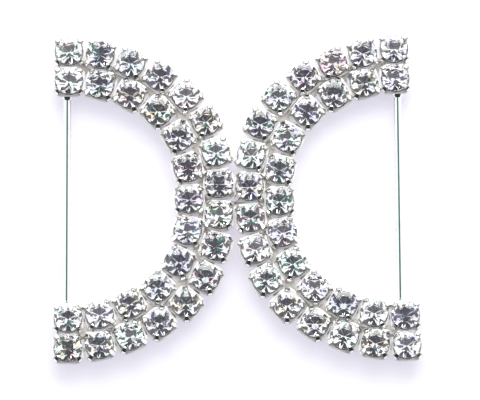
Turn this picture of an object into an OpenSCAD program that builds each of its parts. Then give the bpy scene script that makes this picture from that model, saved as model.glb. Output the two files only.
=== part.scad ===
// A two-part rhinestone buckle, lying flat and fastened. Each half is a D of two rows of claw-set
// stones with a straight strap bar across its open side, and the two D's lie back to back. A small
// wire hook under the left half holds a catch bar under the right one.
// The table that the buckle lies on is z = 0, and the origin is the middle of its footprint.

/* [Stones] */
// Diameter of a stone at its girdle
stone_d = 3.75; // [3.6:0.05:3.8]
// Width of the flat table across its corners, as a share of the stone's diameter
table_share = 0.58; // [0.5:0.01:0.66]
// Height of the crown, from the girdle up to the table
crown_h = 0.66; // [0.5:0.01:0.7]
// Thickness of the girdle
girdle_h = 0.08; // [0.04:0.01:0.12]
// Depth of the pavilion, from the girdle down to the culet
pavilion_h = 1.7; // [1.5:0.05:1.7]

/* [Rows] */
// Distance from one cup to the next along a row
chain_pitch = 4.22; // [4.16:0.01:4.4]
// Stones in the outer row of a half
outer_count = 16; // [16]
// Stones in the inner row of a half
inner_count = 13; // [13]
// How far the outer row swells at the D's two shoulders, beyond a true half circle
outer_swell = 1.85; // [1.2:0.01:2.2]
// How far the inner row swells there
inner_swell = 1.55; // [1.2:0.01:2.2]

/* [Cups] */
// Diameter of a cup at its rim
cup_d = 4; // [3.95:0.01:4.04]
// Diameter of a cup's foot
foot_d = 2.7; // [2.5:0.05:2.9]
// Height at which the foot's flare reaches the full diameter
flare_h = 1.35; // [1.2:0.05:1.5]
// Height of a cup's rim
rim_h = 2.1; // [2:0.05:2.15]
// Space between a stone and the metal that holds it
seat_gap = 0.06; // [0.04:0.01:0.08]
// Diameter of a claw's post
claw_d = 0.34; // [0.26:0.02:0.36]
// Diameter of a claw's rounded tip, which is pressed over the stone's edge
claw_tip_d = 0.52; // [0.4:0.02:0.54]
// Width of the links that join the cups underneath
link_w = 0.9; // [0.7:0.05:1.1]

/* [Strap bars] */
// Diameter of the round bar that a strap is sewn or folded round
bar_d = 1.12; // [0.9:0.02:1.2]
// Height of the bar's centre above the table
bar_z = 0.78; // [0.7:0.02:0.9]
// How far the left bar lies outside its half's end stones
left_bar_out = 0.44; // [0:0.02:0.6]
// How far the right bar lies outside its half's end stones
right_bar_out = -0.12; // [-0.2:0.02:0.6]
// Turn of the right bar against its own half
right_bar_lean = 1.4; // [0:0.1:2]

/* [Fastening] */
// Clear distance between the two halves' nearest cups
halves_gap = 0.12; // [0.1:0.01:0.3]
// Turn of the right half in the play of the hook
right_turn = 2.3; // [0:0.1:3]
// How far the right half sits above the left one in the play of the hook
right_rise = 0.4; // [0.2:0.05:0.5]
// Diameter of the hook's wire
hook_d = 0.62; // [0.5:0.02:0.66]
// Diameter of the catch bar that the hook holds
catch_d = 0.6; // [0.5:0.02:0.64]
// How far the catch bar lies inside the line of the outer cups
catch_in = 0.5; // [0.4:0.05:0.6]
// Play between the hook's upright end and the catch bar
hook_play = 0.27; // [0.15:0.01:0.3]

/* [Hidden] */
fine = 48;
stone_r = stone_d / 2;
cup_r = cup_d / 2;
foot_r = foot_d / 2;

// Heights of a stone's parts above the table that the buckle lies on
girdle_z = rim_h + seat_gap + 0.04;
culet_z = girdle_z - pavilion_h;
crown_z = girdle_z + girdle_h;

// A cut stone has eight of each main facet
facet_step = 45;
table_r = table_share * stone_r;
star_r = 0.8 * stone_r;
star_h = crown_h * (stone_r - star_r * cos(facet_step / 2)) / (stone_r - table_r);
lower_r = 0.24 * stone_r;
lower_h = pavilion_h * (1 - lower_r * cos(facet_step / 2) / stone_r);

// The seat is the pavilion's own cone, lowered by the gap
pavilion_slope = pavilion_h / stone_r;
seat_drop = seat_gap * sqrt(1 + pavilion_slope * pavilion_slope);
seat_z = culet_z - seat_drop;
seat_r = (rim_h - seat_z) / pavilion_slope;

// A claw's post stands just outside the girdle, and its tip leans over the crown
claw_out = stone_r + claw_d / 2 + seat_gap * 0.75;
crown_slope = crown_h / (stone_r - table_r);
tip_out = claw_out - 0.11;
tip_z = crown_z + (claw_tip_d / 2 + seat_gap) * sqrt(1 + crown_slope * crown_slope)
    - (tip_out - stone_r) * crown_slope;

// The two halves' places, with the origin in the middle of the footprint
outer_row = [outer_count, outer_swell];
inner_row = [inner_count, inner_swell];
outer_r = row_r(outer_count);
inner_r = row_r(inner_count);
near = place(outer_row, outer_count / 2 - 1);
near_twin = twin(near);
near_y = right_rise + near_twin[1] - near[1];
halves_x = near[0] - near_twin[0] + sqrt(pow(cup_d + halves_gap, 2) - pow(near_y, 2));
lower_end_out = outer_r * sin(right_turn);
total_x = halves_x + cup_d + lower_end_out;
left_x = cup_r - total_x / 2;
right_x = left_x + halves_x;
left_y = (outer_r - outer_r * cos(right_turn) - right_rise) / 2;
right_y = left_y + right_rise;

// The hook runs low between the outer cups' feet, and the catch bar crosses just above it
table_gap = 0.06;
hook_z = table_gap + hook_d / 2;
catch_z = hook_z + hook_d / 2 + 0.1 + catch_d / 2;
catch_x = near[0] - catch_in;
hook_x = catch_x - (catch_d + hook_d) / 2 - hook_play;

// Radius of the half circle on which a row's cups stand a pitch apart
function row_r(count) = chain_pitch / (2 * sin(90 / (count - 1)));

// Angle of a cup on its row, from 0 at the upper end to 180 at the lower end
function row_angle(row, i) = 180 * i / (row[0] - 1);

// Place of a cup on its row of [count, swell], from the half's own centre
function place(row, i) =
    let (a = row_angle(row, i), swell = row[1] * pow(sin(a) * sin(2 * a), 2))
    (row_r(row[0]) + swell) * [sin(a), cos(a)];

// Where a point of a half lies on its mirror twin, as the right half is turned, from that half's centre
function twin(p) =
    [-p[0] * cos(right_turn) - p[1] * sin(right_turn), -p[0] * sin(right_turn) + p[1] * cos(right_turn)];

// Points of one level of a stone, at every facet step from the angle a0
function ring(r, z, a0, step) = [for (a = [0:step:359]) [r * cos(a + a0), r * sin(a + a0), z]];

// One cut stone: an octagonal table, star, main and upper facets above the girdle, and lower and
// main facets below it that meet in the culet
module stone() {
    top = ring(table_r, crown_z + crown_h, 0, facet_step);
    star = ring(star_r, crown_z + star_h, facet_step / 2, facet_step);
    upper = ring(stone_r, crown_z, 0, facet_step / 2);
    lower = ring(stone_r, girdle_z, 0, facet_step / 2);
    belly = ring(lower_r, girdle_z - lower_h, facet_step / 2, facet_step);
    s = 8;
    u = 16;
    l = 32;
    b = 48;
    culet = 56;
    polyhedron(
        points = concat(top, star, upper, lower, belly, [[0, 0, culet_z]]),
        faces = concat(
            [[for (k = [7:-1:0]) k]],
            [for (k = [0:7]) [k, (k + 1) % 8, s + k]],
            [for (k = [0:7]) [k, s + k, u + 2 * k]],
            [for (k = [0:7]) [k, u + 2 * k, s + (k + 7) % 8]],
            [for (k = [0:7]) [s + k, u + 2 * k + 1, u + 2 * k]],
            [for (k = [0:7]) [s + k, u + (2 * k + 2) % 16, u + 2 * k + 1]],
            [for (k = [0:15]) [u + k, u + (k + 1) % 16, l + (k + 1) % 16, l + k]],
            [for (k = [0:7]) [b + k, l + 2 * k, l + 2 * k + 1]],
            [for (k = [0:7]) [b + k, l + 2 * k + 1, l + (2 * k + 2) % 16]],
            [for (k = [0:7]) [culet, l + 2 * k, b + k]],
            [for (k = [0:7]) [culet, b + (k + 7) % 8, l + 2 * k]]
        )
    );
}

// Puts a copy of what follows at each cup of a row, turned to the row's direction
module along_row(row) {
    for (i = [0:row[0] - 1])
        translate(place(row, i))
            rotate(-row_angle(row, i))
                children();
}

// One claw: a post on the cup's straight wall, and a round tip
module claw() {
    post_z = flare_h + 0.05;
    translate([claw_out, 0, post_z])
        cylinder(d = claw_d, h = tip_z - post_z, $fn = fine);
    translate([tip_out, 0, tip_z])
        sphere(d = claw_tip_d, $fn = fine);
}

// One cup: a flared foot, a straight wall, a conical seat and four claws at its corners
module cup() {
    rotate_extrude($fn = fine)
        polygon([[0, 0], [foot_r, 0], [cup_r, flare_h], [cup_r, rim_h], [seat_r, rim_h], [0, seat_z]]);
    for (a = [45:90:315])
        rotate(a) claw();
}

// A flat link under two cups, from one centre to the other
module link(from, to) {
    step = to - from;
    link_h = 0.28;
    translate([from[0], from[1], seat_z - link_h - 0.06])
        rotate(atan2(step[1], step[0]))
            translate([0, -link_w / 2, 0])
                cube([norm(step), link_w, link_h]);
}

// Links along a row, apart from the one that starts at the cup left_out
module row_links(row, left_out = -1) {
    for (i = [0:row[0] - 2])
        if (i != left_out) link(place(row, i), place(row, i + 1));
}

// A link from each inner cup to the outer cup that is nearest to it
module cross_links() {
    steps = (outer_count - 1) / (inner_count - 1);
    for (i = [0:inner_count - 1])
        link(place(inner_row, i), place(outer_row, round(i * steps)));
}

// The strap bar, let into the feet of the inner row's two end cups
module strap_bar(out, lean) {
    reach = inner_r - foot_r;
    translate([-out, 0, bar_z])
        rotate([90, 0, lean])
            cylinder(d = bar_d, h = 2 * reach, center = true, $fn = fine);
}

// All that the two halves' metal has in common
module cups_and_bar(out, lean) {
    along_row(outer_row) cup();
    along_row(inner_row) cup();
    row_links(inner_row);
    cross_links();
    strap_bar(out, lean);
}

// The left half's hook: a wire from the foot of the middle inner cup, between the feet of the
// outer cups of both halves, with its end turned up past the catch bar
module hook() {
    root = place(inner_row, (inner_count - 1) / 2);
    end = [halves_x, right_rise] + twin([hook_x, 0]);
    run = end - root;
    let_in = 1;
    turn_up = flare_h - hook_d - hook_z;
    translate([root[0], root[1], hook_z])
        rotate(atan2(run[1], run[0])) {
            translate([let_in, 0, 0])
                rotate([0, 90, 0]) cylinder(d = hook_d, h = norm(run) - let_in, $fn = fine);
            translate([norm(run), 0, 0]) {
                sphere(d = hook_d, $fn = fine);
                cylinder(d = hook_d, h = turn_up, $fn = fine);
                translate([0, 0, turn_up]) sphere(d = hook_d, $fn = fine);
            }
        }
}

// The right half's catch bar, let into the two cups that the hook runs between
module catch_bar() {
    catch_l = 1.5;
    translate([catch_x, 0, catch_z])
        rotate([90, 0, 0])
            cylinder(d = catch_d, h = catch_l, center = true, $fn = fine);
}

module at_left() {
    translate([left_x, left_y]) children();
}

module at_right() {
    translate([right_x, right_y]) rotate(right_turn) mirror([1, 0, 0]) children();
}

module left_setting() color("silver") {
    at_left() {
        cups_and_bar(left_bar_out, 0);
        row_links(outer_row);
        hook();
    }
}

module right_setting() color("silver") {
    at_right() {
        cups_and_bar(right_bar_out, right_bar_lean);
        row_links(outer_row, outer_count / 2 - 1);
        catch_bar();
    }
}

module left_outer_stones() color("lavender") {
    at_left() along_row(outer_row) stone();
}

module left_inner_stones() color("lavender") {
    at_left() along_row(inner_row) stone();
}

module right_outer_stones() color("lavender") {
    at_right() along_row(outer_row) stone();
}

module right_inner_stones() color("lavender") {
    at_right() along_row(inner_row) stone();
}

left_setting();
right_setting();
left_outer_stones();
left_inner_stones();
right_outer_stones();
right_inner_stones();
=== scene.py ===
"""Dresses a fastened two-part rhinestone buckle: cut stones in claw cups, strap bars, links and the hook."""

from __future__ import annotations

import logging
import math
import random
from collections.abc import Callable, Iterable, Sequence
from dataclasses import dataclass, field
from enum import Enum

import bmesh
import bpy
from mathutils import Matrix, Vector

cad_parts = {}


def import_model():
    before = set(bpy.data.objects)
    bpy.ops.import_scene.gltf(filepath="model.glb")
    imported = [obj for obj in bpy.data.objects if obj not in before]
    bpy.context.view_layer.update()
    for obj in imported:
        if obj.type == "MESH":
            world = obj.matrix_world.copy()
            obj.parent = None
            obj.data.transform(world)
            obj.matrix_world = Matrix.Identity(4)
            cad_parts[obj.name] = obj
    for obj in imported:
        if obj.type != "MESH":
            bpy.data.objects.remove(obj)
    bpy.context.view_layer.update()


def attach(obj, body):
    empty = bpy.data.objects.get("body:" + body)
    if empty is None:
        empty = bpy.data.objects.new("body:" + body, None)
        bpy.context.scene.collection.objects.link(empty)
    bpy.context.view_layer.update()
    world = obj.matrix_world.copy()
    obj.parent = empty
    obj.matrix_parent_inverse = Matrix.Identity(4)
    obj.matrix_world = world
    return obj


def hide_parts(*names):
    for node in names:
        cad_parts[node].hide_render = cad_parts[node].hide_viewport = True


# Metres in a millimetre, the distance at which doubled points merge, and the slack of a flat cut
MM = 0.001
MERGE = 1e-7
CUT_SLACK = 1e-8
# How much of a normal or a length lies along an axis: most of it, or all but a rounding error
MOSTLY = 0.9
WHOLLY = 0.99
# Angles between two faces, in degrees: up to the first metal is shaded smooth, from the second it is rounded
SMOOTH_ANGLE = 40.0
SHARP_ANGLE = 35.0
LOG = logging.getLogger("buckle")
BODY = "root"

Colour = tuple[float, float, float]
# A cup's place on the table and its turn
Place = tuple[Vector, float]
# A test of a face's centre and normal, and one of an edge's two ends
FaceTest = Callable[[Vector, Vector], bool]
EdgeTest = Callable[[Vector, Vector], bool]


class Side(Enum):
    """Which half of the buckle: the value is the way its rows bulge along X."""

    LEFT = 1
    RIGHT = -1

    @property
    def label(self) -> str:
        """The half's name as its nodes are named."""
        return self.name.lower()


class Row(Enum):
    """Which row of a half."""

    OUTER = "outer"
    INNER = "inner"


def deselect() -> None:
    """Leaves nothing selected and no object in edit mode."""
    if bpy.context.object and bpy.context.object.mode != "OBJECT":
        bpy.ops.object.mode_set(mode="OBJECT")
    bpy.ops.object.select_all(action="DESELECT")


def take(piece: bpy.types.Object) -> None:
    """Selects one piece alone and makes it the active one.

    Args:
        piece: the piece to work on.
    """
    deselect()
    bpy.context.view_layer.objects.active = piece
    piece.select_set(True)


def open_mesh(piece: bpy.types.Object) -> None:
    """Opens one piece's mesh with nothing in it selected.

    Args:
        piece: the piece to edit.
    """
    take(piece)
    bpy.ops.object.mode_set(mode="EDIT")
    bpy.ops.mesh.select_all(action="DESELECT")


def close_mesh() -> None:
    """Leaves edit mode."""
    bpy.ops.object.mode_set(mode="OBJECT")


def pick_faces(piece: bpy.types.Object, test: FaceTest) -> None:
    """Selects, in edit mode, only the faces that pass a test.

    Args:
        piece: the piece in edit mode.
        test: takes a face's centre and normal.
    """
    bpy.ops.mesh.select_all(action="DESELECT")
    bpy.ops.mesh.select_mode(type="FACE")
    mesh = bmesh.from_edit_mesh(piece.data)
    for face in mesh.faces:
        face.select = test(face.calc_center_median(), face.normal)
    mesh.select_flush_mode()
    bmesh.update_edit_mesh(piece.data)


def pick_edges(piece: bpy.types.Object, test: EdgeTest) -> None:
    """Selects, in edit mode, only the edges that pass a test.

    Args:
        piece: the piece in edit mode.
        test: takes the places of an edge's two ends.
    """
    bpy.ops.mesh.select_all(action="DESELECT")
    bpy.ops.mesh.select_mode(type="EDGE")
    mesh = bmesh.from_edit_mesh(piece.data)
    for edge in mesh.edges:
        edge.select = test(edge.verts[0].co, edge.verts[1].co)
    mesh.select_flush_mode()
    bmesh.update_edit_mesh(piece.data)


def face_outwards(piece: bpy.types.Object) -> None:
    """Merges a closed mesh's doubles, in edit mode, and turns its faces outwards.

    Args:
        piece: the piece in edit mode.
    """
    bpy.ops.mesh.select_all(action="SELECT")
    bpy.ops.mesh.remove_doubles(threshold=MERGE)
    bpy.ops.mesh.normals_make_consistent(inside=False)
    bmesh.update_edit_mesh(piece.data)


def make_round(piece: bpy.types.Object, radius: float) -> None:
    """Makes the selected level ring a circle round the Z axis.

    Args:
        piece: the piece in edit mode.
        radius: the circle's radius.
    """
    mesh = bmesh.from_edit_mesh(piece.data)
    height = next(point.co.z for point in mesh.verts if point.select)
    centre = Vector((0, 0, height))
    bpy.ops.transform.tosphere(value=1, center_override=centre)
    mesh = bmesh.from_edit_mesh(piece.data)
    now = next(point.co.xy.length for point in mesh.verts if point.select)
    resize((radius / now, radius / now, 1), centre)


def extrude_faces(move: Sequence[float]) -> None:
    """Extrudes the selected faces as one region.

    Args:
        move: how far, along X, Y and Z.
    """
    bpy.ops.mesh.extrude_region_move(TRANSFORM_OT_translate={"value": move})


def cut_rings(start: Vector, end: Vector, count: int) -> None:
    """Cuts the long straight run that is in edit mode into equal lengths.

    Args:
        start: the middle of the run's first end.
        end: the middle of its other end.
        count: how many lengths it is cut into.
    """
    for k in range(1, count):
        bpy.ops.mesh.select_all(action="SELECT")
        place = start.lerp(end, k / count)
        bpy.ops.mesh.bisect(plane_co=place, plane_no=end - start, threshold=CUT_SLACK)


def cut_away(point: Vector, outward: Vector) -> None:
    """Cuts off, in edit mode, what lies outside a plane, and fills the cut.

    Args:
        point: a point of the plane.
        outward: the way that the plane faces.
    """
    bpy.ops.mesh.bisect(
        plane_co=point, plane_no=outward, use_fill=True, clear_outer=True, threshold=CUT_SLACK,
    )


def resize(scale: Sequence[float], centre: Vector) -> None:
    """Scales the selection about a point.

    Args:
        scale: factors along X, Y and Z.
        centre: the point that stays.
    """
    bpy.ops.transform.resize(value=scale, center_override=centre)


def settle(piece: bpy.types.Object) -> None:
    """Writes a piece's place, turn and scale into its mesh.

    Args:
        piece: the piece.
    """
    take(piece)
    bpy.ops.object.transform_apply(location=True, rotation=True, scale=True)


def bevel(piece: bpy.types.Object, width: float, segments: int) -> None:
    """Rounds a piece's sharp edges.

    Args:
        piece: the piece.
        width: the bevel's width.
        segments: how many faces each rounded edge gets.
    """
    cut = piece.modifiers.new("round_edges", "BEVEL")
    cut.width = width
    cut.segments = segments
    cut.limit_method = "ANGLE"
    cut.angle_limit = math.radians(SHARP_ANGLE)
    take(piece)
    bpy.ops.object.modifier_apply(modifier=cut.name)


def smooth(piece: bpy.types.Object, angle: float = SMOOTH_ANGLE) -> None:
    """Shades a piece smooth where its faces meet at less than an angle.

    Args:
        piece: the piece.
        angle: the angle, in degrees.
    """
    take(piece)
    bpy.ops.object.shade_smooth_by_angle(angle=math.radians(angle))


def copy_at(master: bpy.types.Object, matrix: Matrix) -> bpy.types.Object:
    """Copies a master with a mesh of its own, moved by a matrix.

    Args:
        master: the piece to copy.
        matrix: where the copy goes.

    Returns:
        The copy, whose place is in its mesh.
    """
    mesh = master.data.copy()
    mesh.transform(matrix)
    twin = bpy.data.objects.new(master.name, mesh)
    bpy.context.collection.objects.link(twin)
    return twin


def join(pieces: Sequence[bpy.types.Object], name: str) -> bpy.types.Object:
    """Joins pieces into one and names it.

    Args:
        pieces: the pieces to join.
        name: the joined piece's name.

    Returns:
        The joined piece.
    """
    deselect()
    for piece in pieces:
        piece.select_set(True)
    bpy.context.view_layer.objects.active = pieces[0]
    if len(pieces) > 1:
        bpy.ops.object.join()
    whole = bpy.context.view_layer.objects.active
    whole.name = name
    whole.data.name = name
    return whole


def remove(piece: bpy.types.Object) -> None:
    """Deletes a master and its mesh once its copies are made.

    Args:
        piece: the master.
    """
    mesh = piece.data
    bpy.data.objects.remove(piece)
    bpy.data.meshes.remove(mesh)


def hand_over(piece: bpy.types.Object, nodes: Iterable[str]) -> None:
    """Puts a finished piece on the buckle's body, in place of its nodes.

    Args:
        piece: the finished piece.
        nodes: the nodes that it stands for.
    """
    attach(piece, BODY)
    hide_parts(*nodes)
    LOG.info("%s: %d faces", piece.name, len(piece.data.polygons))


class Shader:
    """A material's node tree, with short ways to add and join nodes."""

    def __init__(self, name: str) -> None:
        """Makes a material with an empty Principled shader.

        Args:
            name: the material's name.
        """
        self.material = bpy.data.materials.new(name)
        self.material.use_nodes = True
        self.tree = self.material.node_tree
        self.surface = self.tree.nodes["Principled BSDF"]

    def node(self, kind: str, **values: object) -> bpy.types.Node:
        """Adds a node and sets its properties or its inputs.

        Args:
            kind: the node's type name.
            **values: properties, or input sockets by name with spaces as underscores.

        Returns:
            The node.
        """
        made = self.tree.nodes.new(kind)
        for key, value in values.items():
            if hasattr(made, key):
                setattr(made, key, value)
            else:
                made.inputs[key.replace("_", " ")].default_value = value
        return made

    def link(self, source: bpy.types.NodeSocket, target: bpy.types.NodeSocket) -> None:
        """Joins an output to an input."""
        self.tree.links.new(source, target)

    def place(self, scale: float) -> bpy.types.NodeSocket:
        """Object coordinates, scaled.

        Args:
            scale: turns metres into the pattern's own unit.

        Returns:
            The scaled coordinates.
        """
        where = self.node("ShaderNodeTexCoord")
        mapping = self.node("ShaderNodeMapping")
        mapping.inputs["Scale"].default_value = (scale,) * 3
        self.link(where.outputs["Object"], mapping.inputs["Vector"])
        return mapping.outputs["Vector"]

    def ramp(self, source: bpy.types.NodeSocket, stops: Sequence[tuple[float, Colour]]) -> bpy.types.Node:
        """A colour ramp fed by a value.

        Args:
            source: the value.
            stops: positions and colours, in order.

        Returns:
            The ramp node.
        """
        ramp = self.node("ShaderNodeValToRGB")
        line = ramp.color_ramp
        while len(line.elements) < len(stops):
            line.elements.new(0.5)
        for element, (position, colour) in zip(line.elements, stops):
            element.position = position
            element.color = (*colour, 1.0)
        self.link(source, ramp.inputs["Fac"])
        return ramp


@dataclass(frozen=True)
class SilverPlate:
    """Bright silver plate with painted shade: its colour grows darker and warmer lower down, in the crevices
    between the cups.
    """

    name: str = "cup_plate"
    bright: Colour = (0.95, 0.95, 0.96)
    # The painted shade colour at the bottom of the crevices
    shade: Colour = (0.64, 0.57, 0.47)
    crevice_low: float = 0.6 * MM
    crevice_high: float = 2.0 * MM
    bright_from: float = 0.75
    worn: Colour = (0.93, 0.92, 0.90)
    unworn: Colour = (1.0, 1.0, 1.0)
    worn_to: float = 0.35
    unworn_from: float = 0.65
    roughness_low: float = 0.26
    roughness_high: float = 0.38
    polish: float = 0.25
    wear_scale: float = 900.0
    wear_detail: float = 3.0

    def build(self) -> bpy.types.Material:
        """Makes the material.

        Returns:
            The material.
        """
        shader = Shader(self.name)
        where = shader.node("ShaderNodeTexCoord")
        split = shader.node("ShaderNodeSeparateXYZ")
        shader.link(where.outputs["Object"], split.inputs["Vector"])
        # Painted shade: the colour fades from bright to the shade colour lower down, between crevice_high and
        # crevice_low
        height = shader.node("ShaderNodeMapRange")
        height.inputs["From Min"].default_value = self.crevice_low
        height.inputs["From Max"].default_value = self.crevice_high
        shader.link(split.outputs["Z"], height.inputs["Value"])
        tint = shader.ramp(height.outputs["Result"], [(0.0, self.shade), (self.bright_from, self.bright)])
        wear = shader.node("ShaderNodeTexNoise", Scale=1.0, Detail=self.wear_detail)
        shader.link(shader.place(self.wear_scale), wear.inputs["Vector"])
        patch = shader.ramp(wear.outputs["Fac"], [(self.worn_to, self.worn), (self.unworn_from, self.unworn)])
        mix = shader.node("ShaderNodeMix", data_type="RGBA", blend_type="MULTIPLY")
        mix.inputs["Factor"].default_value = 1.0
        shader.link(tint.outputs["Color"], mix.inputs["A"])
        shader.link(patch.outputs["Color"], mix.inputs["B"])
        shader.link(mix.outputs["Result"], shader.surface.inputs["Base Color"])
        rough = shader.node("ShaderNodeMapRange")
        rough.inputs["To Min"].default_value = self.roughness_low
        rough.inputs["To Max"].default_value = self.roughness_high
        shader.link(wear.outputs["Fac"], rough.inputs["Value"])
        shader.link(rough.outputs["Result"], shader.surface.inputs["Roughness"])
        shader.surface.inputs["Metallic"].default_value = self.polish
        return shader.material


@dataclass(frozen=True)
class CutCrystal:
    """Clear cut glass with faint polishing marks."""

    name: str = "cut_crystal"
    ior: float = 1.645
    clear: Colour = (1.0, 1.0, 1.0)
    cloudy: Colour = (0.97, 0.975, 0.99)
    cloudy_to: float = 0.3
    clear_from: float = 0.7
    cloud_scale: float = 500.0
    cloud_detail: float = 2.0

    def build(self) -> bpy.types.Material:
        """Makes the material.

        Returns:
            The material.
        """
        shader = Shader(self.name)
        cloud = shader.node("ShaderNodeTexNoise", Scale=1.0, Detail=self.cloud_detail)
        shader.link(shader.place(self.cloud_scale), cloud.inputs["Vector"])
        stops = [(self.cloudy_to, self.cloudy), (self.clear_from, self.clear)]
        tint = shader.ramp(cloud.outputs["Fac"], stops)
        shader.link(tint.outputs["Color"], shader.surface.inputs["Base Color"])
        shader.surface.inputs["Transmission Weight"].default_value = 1.0
        shader.surface.inputs["IOR"].default_value = self.ior
        shader.surface.inputs["Roughness"].default_value = 0.0
        return shader.material


@dataclass(frozen=True)
class MirrorFoil:
    """The silvered back of a stone, each facet with its own faint painted fire: a tint that stands in for
    coloured glints of dispersed light.
    """

    name: str = "mirror_foil"
    roughness: float = 0.02

    def build(self) -> bpy.types.Material:
        """Makes the material.

        Returns:
            The material.
        """
        shader = Shader(self.name)
        # Painted fire: each facet's tint stands in for coloured glints of light
        fire = shader.node("ShaderNodeAttribute", attribute_name="fire")
        shader.link(fire.outputs["Color"], shader.surface.inputs["Base Color"])
        shader.surface.inputs["Metallic"].default_value = 1.0
        shader.surface.inputs["Roughness"].default_value = self.roughness
        return shader.material


@dataclass(frozen=True)
class PaleTable:
    """The matt white light table that the buckle lies on, lit a little from below."""

    name: str = "pale_table"
    colour: Colour = (0.43, 0.43, 0.42)
    glow: Colour = (0.86, 0.84, 1.0)
    glow_strength: float = 0.61
    roughness: float = 0.8
    grain_scale: float = 400.0
    grain_detail: float = 2.0
    grain_shade: float = 0.99
    grain_low: float = 0.4
    grain_high: float = 0.6

    def build(self) -> bpy.types.Material:
        """Makes the material.

        Returns:
            The material.
        """
        shader = Shader(self.name)
        grain = shader.node("ShaderNodeTexNoise", Scale=1.0, Detail=self.grain_detail)
        shader.link(shader.place(self.grain_scale), grain.inputs["Vector"])
        dip = tuple(self.grain_shade * c for c in self.colour)
        tint = shader.ramp(grain.outputs["Fac"], [(self.grain_low, dip), (self.grain_high, self.colour)])
        shader.link(tint.outputs["Color"], shader.surface.inputs["Base Color"])
        shader.surface.inputs["Roughness"].default_value = self.roughness
        shader.surface.inputs["Emission Color"].default_value = (*self.glow, 1.0)
        shader.surface.inputs["Emission Strength"].default_value = self.glow_strength
        return shader.material


@dataclass(frozen=True)
class Finishes:
    """The materials that the pieces share."""

    cup: bpy.types.Material
    claw: bpy.types.Material
    wire: bpy.types.Material
    # Dull dark plate that paints shade on the hollow seats and the claws' sides
    tarnish: bpy.types.Material
    crystal: bpy.types.Material
    foil: bpy.types.Material

    @classmethod
    def make(cls) -> Finishes:
        """Builds every shared material once.

        Returns:
            The materials.
        """
        claw = SilverPlate(name="claw_plate", polish=1.0, roughness_low=0.06, roughness_high=0.14)
        wire = SilverPlate(
            name="wire_plate", shade=(0.93, 0.93, 0.93), polish=1.0,
            roughness_low=0.03, roughness_high=0.05,
        )
        # Painted shade: dull dark plate for the seat under each stone and the sides of the claws
        tarnish = SilverPlate(
            name="tarnished_plate", bright=(0.34, 0.33, 0.30), shade=(0.36, 0.30, 0.22),
            roughness_high=0.5,
        )
        metals = [metal.build() for metal in (SilverPlate(), claw, wire, tarnish)]
        return cls(*metals, CutCrystal().build(), MirrorFoil().build())


def islands(node: str) -> list[Vector]:
    """Centres of a node's loose solids.

    Args:
        node: the node's name.

    Returns:
        One centre for each solid, in the order of the node's own points.
    """
    mesh = bmesh.new()
    mesh.from_mesh(bpy.data.objects[node].data)
    bmesh.ops.remove_doubles(mesh, verts=mesh.verts, dist=MERGE)
    seen = set()
    centres = []
    for start in mesh.verts:
        if start in seen:
            continue
        seen.add(start)
        group = [start]
        # The group grows while it is walked, until it holds the whole solid
        for point in group:
            for edge in point.link_edges:
                neighbour = edge.other_vert(point)
                if neighbour not in seen:
                    seen.add(neighbour)
                    group.append(neighbour)
        centres.append(sum((p.co for p in group), Vector()) / len(group))
    mesh.free()
    return centres


@dataclass
class Half:
    """One D-shaped half of the buckle, and where its cups stand."""

    side: Side
    rows: dict[Row, list[Place]] = field(default_factory=dict)
    centre: Vector = field(default_factory=Vector)

    def __post_init__(self) -> None:
        """Reads the places of both rows from the frame's own stones."""
        outer = islands(self.node(Row.OUTER))
        ends = sorted(outer, key=lambda p: self.side.value * p.x)[:2]
        self.centre = (ends[0] + ends[1]) / 2
        for row in Row:
            centres = sorted(islands(self.node(row)), key=self.row_angle)
            self.rows[row] = [(Vector((p.x, p.y, 0)), self.heading(p)) for p in centres]

    def node(self, row: Row) -> str:
        """Name of a row's node."""
        return f"{self.side.label}_{row.value}_stones"

    def row_angle(self, point: Vector) -> float:
        """Angle of a stone round the half, from the upper end of its row.

        Args:
            point: the stone's centre.

        Returns:
            The angle, which grows towards the row's lower end.
        """
        step = point - self.centre
        angle = math.atan2(self.side.value * step.x, step.y)
        return angle if angle > -math.pi / 2 else angle + math.tau

    def heading(self, point: Vector) -> float:
        """Turn that points a cup's own Y axis away from the half's centre."""
        step = point - self.centre
        return math.atan2(step.y, step.x) - math.pi / 2


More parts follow.
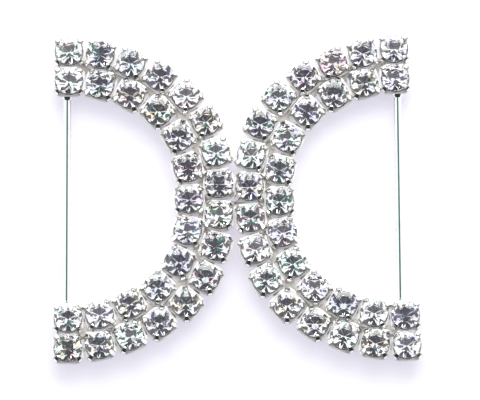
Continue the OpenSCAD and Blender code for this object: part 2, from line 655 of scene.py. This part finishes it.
@dataclass
class CutStone:
    """A round stone cut with eight of each main facet, point-backed and foiled."""

    finishes: Finishes
    table_share: float
    star_share: float
    lower_share: float
    crown: float
    pavilion: float
    radius: float = 1.875 * MM
    girdle: float = 0.08 * MM
    top: float = 2.91 * MM
    culet: float = 0.02 * MM
    facets: int = 8
    foil_slope: float = -0.1

    @classmethod
    def kinds(cls, finishes: Finishes) -> list[CutStone]:
        """The slightly different cuts that every row mixes.

        Args:
            finishes: the shared materials.

        Returns:
            The cuts, not yet made.
        """
        return [
            cls(
                finishes, table_share=0.600, star_share=0.800, lower_share=0.715,
                crown=0.620 * MM, pavilion=1.750 * MM,
            ),
            cls(
                finishes, table_share=0.539, star_share=0.914, lower_share=0.777,
                crown=0.618 * MM, pavilion=1.676 * MM,
            ),
            cls(
                finishes, table_share=0.556, star_share=0.887, lower_share=0.669,
                crown=0.507 * MM, pavilion=1.653 * MM,
            ),
            cls(
                finishes, table_share=0.538, star_share=0.904, lower_share=0.766,
                crown=0.643 * MM, pavilion=1.701 * MM,
            ),
        ]

    @property
    def crown_z(self) -> float:
        """Height of the girdle's upper edge."""
        return self.top - self.crown

    @property
    def girdle_z(self) -> float:
        """Height of the girdle's lower edge."""
        return self.crown_z - self.girdle

    def level(self, share: float, height: float, step: float) -> Vector:
        """A point on the stone.

        Args:
            share: the point's distance from the axis, as a share of the radius.
            height: its height.
            step: how far round it is, in main facets.

        Returns:
            The point.
        """
        angle = step * math.tau / self.facets
        reach = share * self.radius
        return Vector((reach * math.cos(angle), reach * math.sin(angle), height))

    def main_height(self, share: float, rise: float, edge_share: float) -> float:
        """Height, within a rise, of a main facet's side corner.

        Args:
            share: the corner's distance from the axis, as a share of the radius.
            rise: the whole height of the cone that the main facet belongs to.
            edge_share: where that cone reaches its full height, as a share of the radius.

        Returns:
            The corner's height above the girdle.
        """
        along = share * math.cos(math.pi / self.facets)
        return rise * (1 - along) / (1 - edge_share)

    def planes(self) -> list[tuple[Vector, Vector, Vector]]:
        """Every facet's plane, as three of its points.

        Returns:
            The planes, crown first.
        """
        star_z = self.crown_z + self.main_height(self.star_share, self.crown, self.table_share)
        lower_z = self.girdle_z - self.main_height(self.lower_share, self.pavilion, 0.0)
        tip = Vector((0, 0, self.girdle_z - self.pavilion))
        cuts = []
        for k in range(self.facets):
            corner = self.level(self.table_share, self.top, k)
            star = self.level(self.star_share, star_z, k + 0.5)
            belly = self.level(self.lower_share, lower_z, k + 0.5)
            cuts.append((corner, self.level(1, self.crown_z, k), star))
            cuts.append((tip, self.level(1, self.girdle_z, k), belly))
        for k in range(self.facets):
            star = self.level(self.star_share, star_z, k + 0.5)
            belly = self.level(self.lower_share, lower_z, k + 0.5)
            middle = self.level(1, self.crown_z, k + 0.5)
            under = self.level(1, self.girdle_z, k + 0.5)
            for end in (k, k + 1):
                cuts.append((star, middle, self.level(1, self.crown_z, end)))
                cuts.append((belly, under, self.level(1, self.girdle_z, end)))
            corner, after = (self.level(self.table_share, self.top, end) for end in (k, k + 1))
            cuts.append((star, corner, after))
        return cuts

    def cut(self) -> bpy.types.Object:
        """Cuts the stone from a sixteen-sided blank.

        Returns:
            The master stone, on the Z axis at its height in a cup.
        """
        low = self.girdle_z - self.pavilion + self.culet
        high = self.top
        deselect()
        bpy.ops.mesh.primitive_cylinder_add(
            vertices=2 * self.facets,
            radius=self.radius,
            depth=high - low,
            location=(0, 0, (low + high) / 2),
            rotation=(0, 0, math.pi / 2),
        )
        stone = bpy.context.object
        settle(stone)
        open_mesh(stone)
        inside = Vector((0, 0, self.girdle_z))
        for a, b, c in self.planes():
            normal = (b - a).cross(c - a).normalized()
            if normal.dot(a - inside) < 0:
                normal.negate()
            bpy.ops.mesh.select_all(action="SELECT")
            cut_away(a, normal)
        face_outwards(stone)
        close_mesh()
        stone.data.materials.append(self.finishes.crystal)
        stone.data.materials.append(self.finishes.foil)
        for face in stone.data.polygons:
            face.material_index = int(face.normal.z < self.foil_slope)
        return stone


@dataclass
class StoneRow:
    """The stones of one row, each turned and tilted a little differently, most of them away from the lens."""

    half: Half
    row: Row
    tilt: float = 2.6
    bias: float = -0.4
    twist: float = 0.4
    pivot: float = 2.2 * MM
    # The highest draw that gets each tint of painted fire, and the tint
    fires: tuple[tuple[float, Colour], ...] = (
        (0.72, (0.97, 0.97, 0.98)),
        (0.80, (0.84, 0.85, 1.00)),
        (0.85, (1.00, 0.94, 0.80)),
        (0.96, (0.88, 1.00, 0.96)),
        (1.00, (1.00, 0.86, 0.92)),
    )

    def build(self, masters: Sequence[bpy.types.Object]) -> bpy.types.Object:
        """Sets the row's stones.

        Args:
            masters: the cut stones to pick from.

        Returns:
            The row as one piece.
        """
        luck = random.Random(f"{self.half.side.label} {self.row.value}")
        pivot = Vector((0, 0, self.pivot))
        stones = []
        for place, heading in self.half.rows[self.row]:
            lean = Vector((luck.uniform(-1, 1) + self.bias, luck.uniform(-1, 1), 0))
            turn = Matrix.Rotation(heading + luck.uniform(-self.twist, self.twist), 4, "Z")
            tip = Matrix.Rotation(math.radians(self.tilt * lean.length), 4, lean)
            about = Matrix.Translation(place + pivot) @ tip @ turn @ Matrix.Translation(-pivot)
            stones.append(copy_at(luck.choice(masters), about))
        piece = join(stones, f"{self.half.side.label}_{self.row.value}_cut_stones")
        self.light_fires(piece, luck)
        hand_over(piece, [self.half.node(self.row)])
        return piece

    def light_fires(self, piece: bpy.types.Object, luck: random.Random) -> None:
        """Gives each facet its own tint of foil: painted fire, coloured glints of light painted into the
        foil.

        Args:
            piece: the row.
            luck: the row's seeded chance.
        """
        fire = piece.data.attributes.new("fire", "FLOAT_COLOR", "CORNER")
        for face in piece.data.polygons:
            draw = luck.random()
            tint = next(colour for limit, colour in self.fires if draw <= limit)
            for corner in face.loop_indices:
                fire.data[corner].color = (*tint, 1.0)


@dataclass
class ClawCup:
    """A pressed claw cup: flared foot, rounded square wall, conical seat and a bent claw at each corner."""

    finishes: Finishes
    side: float = 4.2 * MM
    corner: float = 1.1 * MM
    corner_faces: int = 7
    wall_cuts: int = 5
    foot: float = 1.35 * MM
    flare: float = 1.35 * MM
    rim: float = 1.94 * MM
    slope: float = 0.1 * MM
    hole: float = 1.96 * MM
    seat: float = 0.24 * MM
    well: float = 0.1 * MM
    seat_slope: float = 0.1
    edge: float = 0.05 * MM
    edge_faces: int = 2
    claw_edge: float = 0.13 * MM
    claw_out: float = 2.48 * MM
    claw_width: float = 0.82 * MM
    claw_thick: float = 0.27 * MM
    bend_z: float = 1.85 * MM
    bend_radius: float = 0.28 * MM
    bend_angle: float = 50.0
    bend_steps: int = 2
    reach: float = 0.72 * MM
    # Each length as a share of the reach, and how much it narrows
    taper: tuple[tuple[float, float], ...] = ((0.65, 0.92), (0.35, 0.62))
    flank_slope: float = 0.4

    def shell(self) -> bpy.types.Object:
        """Presses the cup's body out of a block with rounded corners.

        Returns:
            The body without claws.
        """
        wall = self.rim - self.slope - self.flare
        deselect()
        bpy.ops.mesh.primitive_cube_add(size=1, location=(0, 0, self.flare + wall / 2))
        cup = bpy.context.object
        cup.scale = (self.side, self.side, wall)
        settle(cup)
        open_mesh(cup)
        pick_edges(cup, lambda a, b: abs((a - b).z) > MOSTLY * wall)
        bpy.ops.mesh.bevel(offset=self.corner, segments=self.corner_faces, affect="EDGES")
        straight = self.side - 2 * self.corner
        pick_edges(cup, lambda a, b: (a - b).xy.length > MOSTLY * straight)
        bpy.ops.mesh.subdivide(number_cuts=self.wall_cuts)
        pick_faces(cup, lambda c, n: n.z < -MOSTLY)
        extrude_faces((0, 0, -self.flare))
        make_round(cup, self.foot)
        pick_faces(cup, lambda c, n: n.z > MOSTLY)
        bpy.ops.mesh.inset(thickness=self.edge)
        make_round(cup, self.hole)
        bpy.ops.transform.translate(value=(0, 0, self.slope))
        extrude_faces((0, 0, self.seat - self.rim))
        make_round(cup, self.well)
        close_mesh()
        bevel(cup, self.edge, self.edge_faces)
        cup.data.materials.append(self.finishes.cup)
        # The seat under the stone gets painted shade
        self.tarnish(cup, lambda c, n: n.z > self.seat_slope and c.xy.length < self.hole - self.edge)
        return cup

    def claw(self) -> bpy.types.Object:
        """Bends one claw out of a short tab.

        Returns:
            The claw, on the +X side of the cup.
        """
        middle = self.claw_out - self.claw_thick / 2
        deselect()
        bpy.ops.mesh.primitive_cube_add(size=1, location=(middle, 0, (self.flare + self.bend_z) / 2))
        tab = bpy.context.object
        tab.scale = (self.claw_thick, self.claw_width, self.bend_z - self.flare)
        settle(tab)
        open_mesh(tab)
        pick_faces(tab, lambda c, n: n.z > MOSTLY)
        hinge = Vector((self.claw_out - self.claw_thick - self.bend_radius, 0, self.bend_z))
        turn = math.radians(self.bend_angle)
        bpy.ops.mesh.spin(steps=self.bend_steps, angle=turn, center=hinge, axis=(0, 1, 0))
        face_outwards(tab)
        lean = Vector((-math.sin(turn), 0, math.cos(turn)))
        for share, narrow in self.taper:
            pick_faces(tab, lambda c, n: n.dot(lean) > WHOLLY and c.z > hinge.z)
            extrude_faces(lean * self.reach * share)
            resize((1, narrow, 1), Vector((0, 0, 0)))
        close_mesh()
        bevel(tab, self.claw_edge, 1)
        tab.data.materials.append(self.finishes.claw)
        # The claw's sides get painted shade, as dark outlines
        self.tarnish(tab, lambda c, n: abs(n.y) > self.flank_slope)
        return tab

    def tarnish(self, piece: bpy.types.Object, test: FaceTest) -> None:
        """Leaves the faces that pass a test dull and dark, as painted shade.

        Args:
            piece: a piece that has its own finish.
            test: takes a face's centre and normal.
        """
        piece.data.materials.append(self.finishes.tarnish)
        for face in piece.data.polygons:
            face.material_index = int(test(face.center, face.normal))

    def build(self) -> bpy.types.Object:
        """Puts four claws on the cup.

        Returns:
            The master cup, on the Z axis with its foot on the table.
        """
        cup = self.shell()
        tab = self.claw()
        tabs = [copy_at(tab, Matrix.Rotation(math.radians(45 + 90 * k), 4, "Z")) for k in range(4)]
        remove(tab)
        whole = join([cup, *tabs], "claw_cup")
        smooth(whole)
        return whole


@dataclass
class CupField:
    """All the cups of one half."""

    half: Half

    def build(self, master: bpy.types.Object) -> bpy.types.Object:
        """Stands a cup at every place of both rows.

        Args:
            master: the claw cup.

        Returns:
            The cups as one piece.
        """
        cups = []
        for row in Row:
            for place, heading in self.half.rows[row]:
                turn = Matrix.Rotation(heading, 4, "Z")
                cups.append(copy_at(master, Matrix.Translation(place) @ turn))
        piece = join(cups, f"{self.half.side.label}_claw_cups")
        hand_over(piece, [f"{self.half.side.label}_setting"])
        return piece


@dataclass
class LinkWork:
    """The flat links that join the cups underneath, and the solder seam between the rows."""

    half: Half
    finishes: Finishes
    width: float = 0.9 * MM
    thick: float = 0.28 * MM
    low: float = 0.08 * MM
    edge: float = 0.06 * MM
    seam_width: float = 1.4 * MM
    seam_low: float = 1.0 * MM

    def strip(self, start: Vector, end: Vector, width: float, low: float) -> bpy.types.Object:
        """One rounded strip from a place to another.

        Args:
            start: the middle of its first end.
            end: the middle of its other end.
            width: the strip's width.
            low: the height of its underside.

        Returns:
            The strip.
        """
        step = end - start
        deselect()
        bpy.ops.mesh.primitive_cube_add(size=1)
        strip = bpy.context.object
        strip.scale = (step.length, width, self.thick)
        strip.location = (*((start + end) / 2).xy, low + self.thick / 2)
        strip.rotation_euler = (0, 0, math.atan2(step.y, step.x))
        settle(strip)
        open_mesh(strip)
        bpy.ops.mesh.select_all(action="SELECT")
        bpy.ops.mesh.bevel(offset=self.edge, segments=2, affect="EDGES")
        close_mesh()
        return strip

    def build(self) -> bpy.types.Object:
        """Lays the links along both rows and from row to row, and the seam between the rows.

        Returns:
            The links as one piece.
        """
        outer = [place for place, _ in self.half.rows[Row.OUTER]]
        inner = [place for place, _ in self.half.rows[Row.INNER]]
        middle = len(outer) // 2 - 1
        strips = []
        between = []
        for row in (outer, inner):
            for k, (start, end) in enumerate(zip(row, row[1:])):
                # On the right the catch bar joins the two middle outer cups instead
                if self.half.side is Side.RIGHT and row is outer and k == middle:
                    continue
                strips.append(self.strip(start, end, self.width, self.low))
        for k, start in enumerate(inner):
            # A half goes up, not to the even number
            near = math.floor(k * (len(outer) - 1) / (len(inner) - 1) + 0.5)
            strips.append(self.strip(start, outer[near], self.width, self.low))
            between.append((start + outer[near]) / 2)
        for start, end in zip(between, between[1:]):
            strips.append(self.strip(start, end, self.seam_width, self.seam_low))
        piece = join(strips, f"{self.half.side.label}_links")
        piece.data.materials.append(self.finishes.cup)
        smooth(piece)
        hand_over(piece, [f"{self.half.side.label}_setting"])
        return piece


@dataclass
class StrapBar:
    """The round bar across a half's open side, with a solder fillet at each end."""

    half: Half
    finishes: Finishes
    out: float
    lean: float
    radius: float = 0.56 * MM
    height: float = 0.78 * MM
    foot: float = 1.35 * MM
    flat: float = 0.012 * MM
    sides: int = 64
    rings: int = 16
    smooth_angle: float = 9.0
    fillet: float = 1.15 * MM
    # Each ring's share of the fillet's length, how much it widens and how far it rises
    fillet_rings: tuple[tuple[float, float, float], ...] = (
        (0.19, 1.25, 0.05 * MM),
        (0.19, 1.2, 0.04 * MM),
        (0.62, 1.0, 0.0),
    )

    def build(self) -> bpy.types.Object:
        """Draws the bar between the inner row's end cups.

        Returns:
            The bar.
        """
        side = self.half.side
        ends = [self.half.rows[Row.INNER][k][0] for k in (0, -1)]
        along = ends[0] - ends[1]
        square = Vector((-along.y, along.x, 0)).normalized()
        if square.x * side.value > 0:
            square.negate()
        middle = (ends[0] + ends[1]) / 2 + square * self.out
        length = along.length - 2 * self.foot
        deselect()
        bpy.ops.mesh.primitive_cylinder_add(
            vertices=self.sides, radius=self.radius, depth=length, rotation=(math.pi / 2, 0, 0),
        )
        bar = bpy.context.object
        settle(bar)
        open_mesh(bar)
        bpy.ops.mesh.select_all(action="SELECT")
        cut_away(Vector((0, 0, self.radius - self.flat)), Vector((0, 0, 1)))
        cut_rings(Vector((0, -length / 2, 0)), Vector((0, length / 2, 0)), self.rings)
        for way in (-1, 1):
            pick_faces(bar, lambda c, n: n.y * way > MOSTLY)
            bpy.ops.transform.translate(value=(0, -way * self.fillet, 0))
            middle_z = 0.0
            for share, grow, lift in self.fillet_rings:
                extrude_faces((0, way * self.fillet * share, lift))
                middle_z += lift
                resize((grow, 1, grow), Vector((0, 0, middle_z)))
        close_mesh()
        turn = math.atan2(along.y, along.x) - math.pi / 2 + side.value * math.radians(self.lean)
        bar.rotation_euler = (0, 0, turn)
        bar.location = (middle.x, middle.y, self.height)
        settle(bar)
        bar = join([bar], f"{side.label}_strap_bar")
        bar.data.materials.append(self.finishes.wire)
        smooth(bar, self.smooth_angle)
        hand_over(bar, [f"{side.label}_setting"])
        return bar


@dataclass
class HookWire:
    """The wire hook under the left half, with its end turned up past the catch bar."""

    left: Half
    right: Half
    finishes: Finishes
    radius: float = 0.31 * MM
    height: float = 0.37 * MM
    let_in: float = 1.0 * MM
    bend: float = 0.4 * MM
    bend_steps: int = 8
    end_x: float = 18.70 * MM
    top: float = 1.3 * MM
    # Each step up the rounded end, and how much it narrows
    tip: tuple[tuple[float, float], ...] = ((0.15 * MM, 0.88), (0.1 * MM, 0.7), (0.06 * MM, 0.45))
    sides: int = 20
    rings: int = 6

    def build(self) -> bpy.types.Object:
        """Bends the wire from the middle inner cup to the catch.

        Returns:
            The hook.
        """
        inner = self.left.rows[Row.INNER]
        root = inner[len(inner) // 2][0]
        twin = self.right.rows[Row.INNER]
        away = (twin[len(twin) // 2][0] - self.right.centre).normalized()
        end = Vector((*(self.right.centre + away * self.end_x).xy, 0))
        run = end - root
        straight = run.length - self.let_in - self.bend
        deselect()
        bpy.ops.mesh.primitive_cylinder_add(
            vertices=self.sides, radius=self.radius, depth=straight, rotation=(0, math.pi / 2, 0),
            location=(self.let_in + straight / 2, 0, self.height),
        )
        wire = bpy.context.object
        settle(wire)
        open_mesh(wire)
        low = Vector((self.let_in, 0, self.height))
        cut_rings(low, low + Vector((straight, 0, 0)), self.rings)
        pick_faces(wire, lambda c, n: n.x > MOSTLY)
        corner = (self.let_in + straight, 0, self.height + self.bend)
        bpy.ops.mesh.spin(steps=self.bend_steps, angle=math.pi / 2, center=corner, axis=(0, 1, 0))
        face_outwards(wire)
        pick_faces(wire, lambda c, n: n.z > WHOLLY and c.x > corner[0] and c.z > self.height)
        rise = self.top - self.height - self.bend - self.radius
        extrude_faces((0, 0, rise))
        for up, narrow in self.tip:
            extrude_faces((0, 0, up))
            resize((narrow, narrow, 1), Vector((corner[0] + self.bend, 0, 0)))
        close_mesh()
        wire.rotation_euler = (0, 0, math.atan2(run.y, run.x))
        wire.location = root
        settle(wire)
        wire = join([wire], "left_hook")
        wire.data.materials.append(self.finishes.wire)
        smooth(wire)
        hand_over(wire, ["left_setting"])
        return wire


@dataclass
class CatchBar:
    """The short bar under the right half that the hook holds."""

    right: Half
    finishes: Finishes
    radius: float = 0.3 * MM
    length: float = 1.5 * MM
    inset: float = 0.5 * MM
    height: float = 1.08 * MM
    knob: float = 0.3 * MM
    knob_growth: float = 1.3
    sides: int = 20

    def build(self) -> bpy.types.Object:
        """Sets the bar between the two middle outer cups.

        Returns:
            The bar.
        """
        outer = self.right.rows[Row.OUTER]
        middle = len(outer) // 2
        pair = [outer[middle - 1][0], outer[middle][0]]
        along = pair[0] - pair[1]
        centre = (pair[0] + pair[1]) / 2
        centre += (self.right.centre.xy.to_3d() - centre).normalized() * self.inset
        deselect()
        bpy.ops.mesh.primitive_cylinder_add(
            vertices=self.sides, radius=self.radius, depth=self.length, rotation=(math.pi / 2, 0, 0),
        )
        bar = bpy.context.object
        settle(bar)
        open_mesh(bar)
        for way in (-1, 1):
            pick_faces(bar, lambda c, n: n.y * way > MOSTLY)
            bpy.ops.transform.translate(value=(0, -way * self.knob, 0))
            extrude_faces((0, way * self.knob, 0))
            resize((self.knob_growth, 1, self.knob_growth), Vector((0, 0, 0)))
        close_mesh()
        bar.rotation_euler = (0, 0, math.atan2(along.y, along.x) - math.pi / 2)
        bar.location = (centre.x, centre.y, self.height)
        settle(bar)
        bar = join([bar], "right_catch_bar")
        bar.data.materials.append(self.finishes.wire)
        smooth(bar)
        hand_over(bar, ["right_setting"])
        return bar


@dataclass(frozen=True)
class TentZone:
    """A round patch of the light tent with a soft edge."""

    toward: tuple[float, float, float]
    half_angle: float
    soft: float
    colour: Colour


@dataclass
class Studio:
    """A white light tent with the lens's dark opening above, a pale table and the camera.

    Its elevations and angles are in degrees.
    """

    elevation: float = 79.8
    aim: tuple[float, float, float] = (0.335 * MM, -0.35 * MM, 2.35 * MM)
    view_width: float = 64.3 * MM
    lens: float = 600.0
    sensor: float = 36.0
    near: float = 0.01
    tent: Colour = (1.0, 1.0, 1.0)
    tent_strength: float = 1.24
    opening: Colour = (0.081, 0.076, 0.092)
    opening_elevation: float = 74.0
    opening_angle: float = 31.0
    opening_soft: float = 0.95
    boom: Colour = (0.06, 0.20, 0.185)
    boom_angle: float = 1.5
    front: Colour = (0.025, 0.034, 0.037)
    front_height: float = -25.0
    front_angle: float = 68.0
    front_soft: float = 4.0
    key_place: tuple[float, float, float] = (0.02, 0.36, 0.22)
    key_size: tuple[float, float] = (0.5, 0.3)
    key_colour: Colour = (1.0, 0.99, 0.96)
    key_power: float = 2.8
    table_size: float = 3.0
    table_gap: float = 0.02 * MM

    @staticmethod
    def rise(elevation: float) -> Vector:
        """Direction at a height above the table, on the camera's side."""
        angle = math.radians(elevation)
        return Vector((0, -math.cos(angle), math.sin(angle)))

    @property
    def sight(self) -> Vector:
        """Direction from the buckle to the lens."""
        return self.rise(self.elevation)

    @property
    def zones(self) -> list[TentZone]:
        """The dark parts of the tent: its open front, the opening for the lens and the boom that holds it.

        Returns:
            The parts, each of which covers the ones before it.
        """
        above, front = self.rise(self.opening_elevation), self.rise(self.front_height)
        boom = self.rise(180 - self.elevation)
        return [
            TentZone(tuple(front), self.front_angle, self.front_soft, self.front),
            TentZone(tuple(above), self.opening_angle, self.opening_soft, self.opening),
            TentZone(tuple(boom), self.boom_angle, self.opening_soft, self.boom),
        ]

    def build_camera(self) -> None:
        """Places the camera at the photograph's angle and distance."""
        distance = self.view_width * self.lens / self.sensor
        deselect()
        bpy.ops.object.camera_add(location=Vector(self.aim) + self.sight * distance)
        camera = bpy.context.object
        camera.rotation_mode = "QUATERNION"
        camera.rotation_quaternion = (-self.sight).to_track_quat("-Z", "Y")
        camera.data.lens = self.lens
        camera.data.sensor_width = self.sensor
        camera.data.clip_start = self.near
        bpy.context.scene.camera = camera

    def build_tent(self) -> None:
        """Makes the surroundings: white all round, apart from the tent's dark zones."""
        world = bpy.data.worlds.new("light_tent")
        bpy.context.scene.world = world
        world.use_nodes = True
        tree = world.node_tree
        light = tree.nodes["Background"]
        light.inputs["Strength"].default_value = self.tent_strength
        where = tree.nodes.new("ShaderNodeTexCoord")
        colour = None
        for zone in self.zones:
            toward = tree.nodes.new("ShaderNodeVectorMath")
            toward.operation = "DOT_PRODUCT"
            toward.inputs[1].default_value = zone.toward
            tree.links.new(where.outputs["Generated"], toward.inputs[0])
            edge = tree.nodes.new("ShaderNodeMapRange")
            edge.interpolation_type = "SMOOTHSTEP"
            edge.inputs["From Min"].default_value = math.cos(math.radians(zone.half_angle + zone.soft))
            edge.inputs["From Max"].default_value = math.cos(math.radians(zone.half_angle - zone.soft))
            tree.links.new(toward.outputs["Value"], edge.inputs["Value"])
            mix = tree.nodes.new("ShaderNodeMix")
            mix.data_type = "RGBA"
            mix.inputs["A"].default_value = (*self.tent, 1)
            mix.inputs["B"].default_value = (*zone.colour, 1)
            tree.links.new(edge.outputs["Result"], mix.inputs["Factor"])
            if colour:
                tree.links.new(colour, mix.inputs["A"])
            colour = mix.outputs["Result"]
        tree.links.new(colour, light.inputs["Color"])

    def build_key(self) -> None:
        """Hangs one soft key light behind the buckle."""
        deselect()
        bpy.ops.object.light_add(type="AREA", location=self.key_place)
        key = bpy.context.object
        key.name = "key_light"
        key.data.shape = "RECTANGLE"
        key.data.size, key.data.size_y = self.key_size
        key.data.energy = self.key_power
        key.data.color = self.key_colour
        key.rotation_mode = "QUATERNION"
        key.rotation_quaternion = (-key.location).to_track_quat("-Z", "Y")

    def build_table(self) -> None:
        """Lays the pale table under the buckle."""
        deselect()
        bpy.ops.mesh.primitive_plane_add(size=self.table_size, location=(0, 0, -self.table_gap))
        table = bpy.context.object
        table.name = "table"
        settle(table)
        table.data.materials.append(PaleTable().build())

    def build(self) -> None:
        """Sets up the whole studio."""
        self.build_camera()
        self.build_tent()
        self.build_key()
        self.build_table()
        scene = bpy.context.scene
        scene.view_settings.view_transform = "Standard"
        scene.view_settings.look = "None"


def main() -> None:
    """Builds the buckle's pieces in order."""
    logging.basicConfig(level=logging.INFO, format="%(name)s %(message)s")
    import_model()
    finishes = Finishes.make()
    left, right = Half(Side.LEFT), Half(Side.RIGHT)
    stones = [kind.cut() for kind in CutStone.kinds(finishes)]
    cup = ClawCup(finishes).build()
    for half in (left, right):
        CupField(half).build(cup)
        for row in Row:
            StoneRow(half, row).build(stones)
        LinkWork(half, finishes).build()
    for master in (*stones, cup):
        remove(master)
    StrapBar(left, finishes, out=0.23 * MM, lean=0.0).build()
    StrapBar(right, finishes, out=-0.18 * MM, lean=1.7).build()
    HookWire(left, right, finishes).build()
    CatchBar(right, finishes).build()
    Studio().build()


if __name__ == "__main__":
    main()
